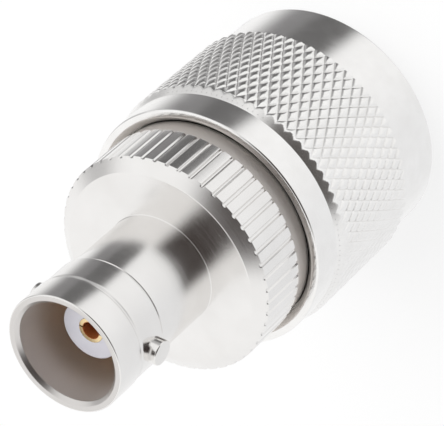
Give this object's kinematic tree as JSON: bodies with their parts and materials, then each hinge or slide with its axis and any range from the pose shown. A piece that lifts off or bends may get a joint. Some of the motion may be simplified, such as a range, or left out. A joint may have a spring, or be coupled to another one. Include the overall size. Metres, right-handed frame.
{
  "type": "coaxial adapter",
  "caption": "Straight coaxial adapter with a bayonet jack on one end and a screw-coupled plug with a knurled captive nut on the other; joins two kinds of coaxial cable connector.",
  "frame": {"origin": "on the axis, in the plane of the coupling nut's front face, on which the adapter stands", "axes": "+Z along the axis, up to the jack's mouth; +X through a bayonet lug"},
  "size_m": [0.0206, 0.0206, 0.0349],
  "materials": {
    "nickel": "bright nickel plate",
    "spring_bronze": "tinned bronze",
    "gold": "gold plate",
    "ptfe": "white, waxy",
    "gasket_rubber": "matte"
  },
  "bodies": {
    "adapter": {"jack_body": "nickel", "bayonet_lug_1": "nickel", "bayonet_lug_2": "nickel", "jack_insulator": "ptfe", "jack_contact": "gold", "plug_contact": "gold", "plug_insulator": "ptfe", "plug_body": "nickel", "sealing_gasket": "gasket_rubber", "retaining_ring": "spring_bronze"},
    "nut": {"coupling_nut": "nickel"}
  },
  "joints": [
    {"name": "nut_spin", "type": "hinge", "parent": "adapter", "child": "nut", "pos_m": [0, 0, 0.0145], "axis": [0, 0, 1], "continuous": true}
  ]
}
